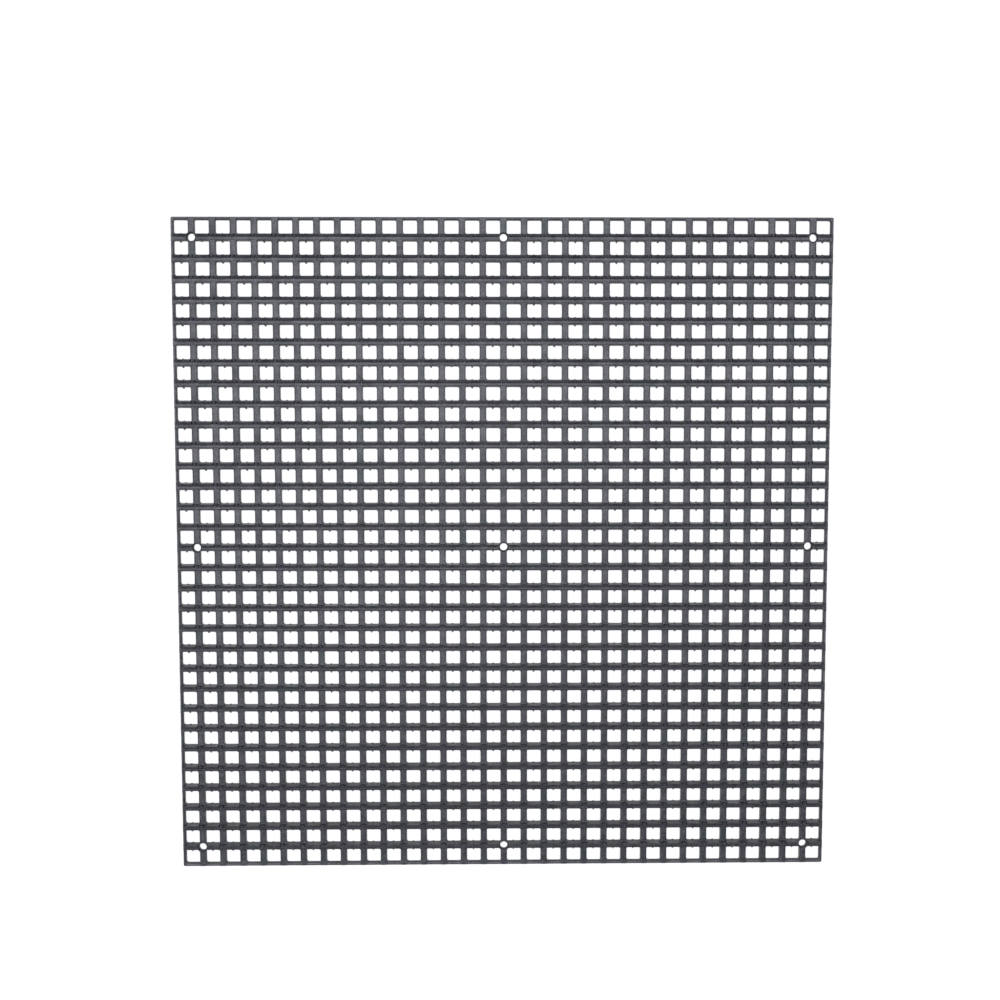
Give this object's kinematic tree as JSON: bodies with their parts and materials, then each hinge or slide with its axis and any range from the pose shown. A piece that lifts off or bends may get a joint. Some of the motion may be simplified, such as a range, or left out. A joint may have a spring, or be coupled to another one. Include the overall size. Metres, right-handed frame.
{
  "type": "queen excluder grid",
  "caption": "Thin square grid of moulded black plastic with small square openings, low cross bars, raised louvre bars and screw holes.",
  "frame": {"origin": "middle of the back face", "axes": "+Z out of the louvred front face, +X along the louvre bars, +Y towards the side that the fins lean to"},
  "size_m": [0.1916, 0.1916, 0.0027],
  "materials": {
    "frame_plastic": "matte, fine moulded grain",
    "louvre_plastic": "matte, fine moulded grain",
    "cross_plastic": "matte, fine moulded grain"
  },
  "bodies": {
    "root": {"mounting_frame": "frame_plastic", "louvre_bar_02": "louvre_plastic", "louvre_bar_03": "louvre_plastic", "louvre_bar_04": "louvre_plastic", "louvre_bar_05": "louvre_plastic", "louvre_bar_06": "louvre_plastic", "louvre_bar_07": "louvre_plastic", "louvre_bar_08": "louvre_plastic", "louvre_bar_09": "louvre_plastic", "louvre_bar_10": "louvre_plastic", "louvre_bar_11": "louvre_plastic", "louvre_bar_12": "louvre_plastic", "louvre_bar_13": "louvre_plastic", "louvre_bar_14": "louvre_plastic", "louvre_bar_15": "louvre_plastic", "louvre_bar_17": "louvre_plastic", "louvre_bar_18": "louvre_plastic", "louvre_bar_19": "louvre_plastic", "louvre_bar_20": "louvre_plastic", "louvre_bar_21": "louvre_plastic", "louvre_bar_22": "louvre_plastic", "louvre_bar_23": "louvre_plastic", "louvre_bar_24": "louvre_plastic", "louvre_bar_25": "louvre_plastic", "louvre_bar_26": "louvre_plastic", "louvre_bar_27": "louvre_plastic", "louvre_bar_28": "louvre_plastic", "louvre_bar_29": "louvre_plastic", "louvre_bar_30": "louvre_plastic", "cross_bar_02": "cross_plastic", "cross_bar_03": "cross_plastic", "cross_bar_04": "cross_plastic", "cross_bar_05": "cross_plastic", "cross_bar_06": "cross_plastic", "cross_bar_07": "cross_plastic", "cross_bar_08": "cross_plastic", "cross_bar_09": "cross_plastic", "cross_bar_10": "cross_plastic", "cross_bar_11": "cross_plastic", "cross_bar_12": "cross_plastic", "cross_bar_13": "cross_plastic", "cross_bar_14": "cross_plastic", "cross_bar_15": "cross_plastic", "cross_bar_17": "cross_plastic", "cross_bar_18": "cross_plastic", "cross_bar_19": "cross_plastic", "cross_bar_20": "cross_plastic", "cross_bar_21": "cross_plastic", "cross_bar_22": "cross_plastic", "cross_bar_23": "cross_plastic", "cross_bar_24": "cross_plastic", "cross_bar_25": "cross_plastic", "cross_bar_26": "cross_plastic", "cross_bar_27": "cross_plastic", "cross_bar_28": "cross_plastic", "cross_bar_29": "cross_plastic", "cross_bar_30": "cross_plastic"}
  },
  "joints": []
}
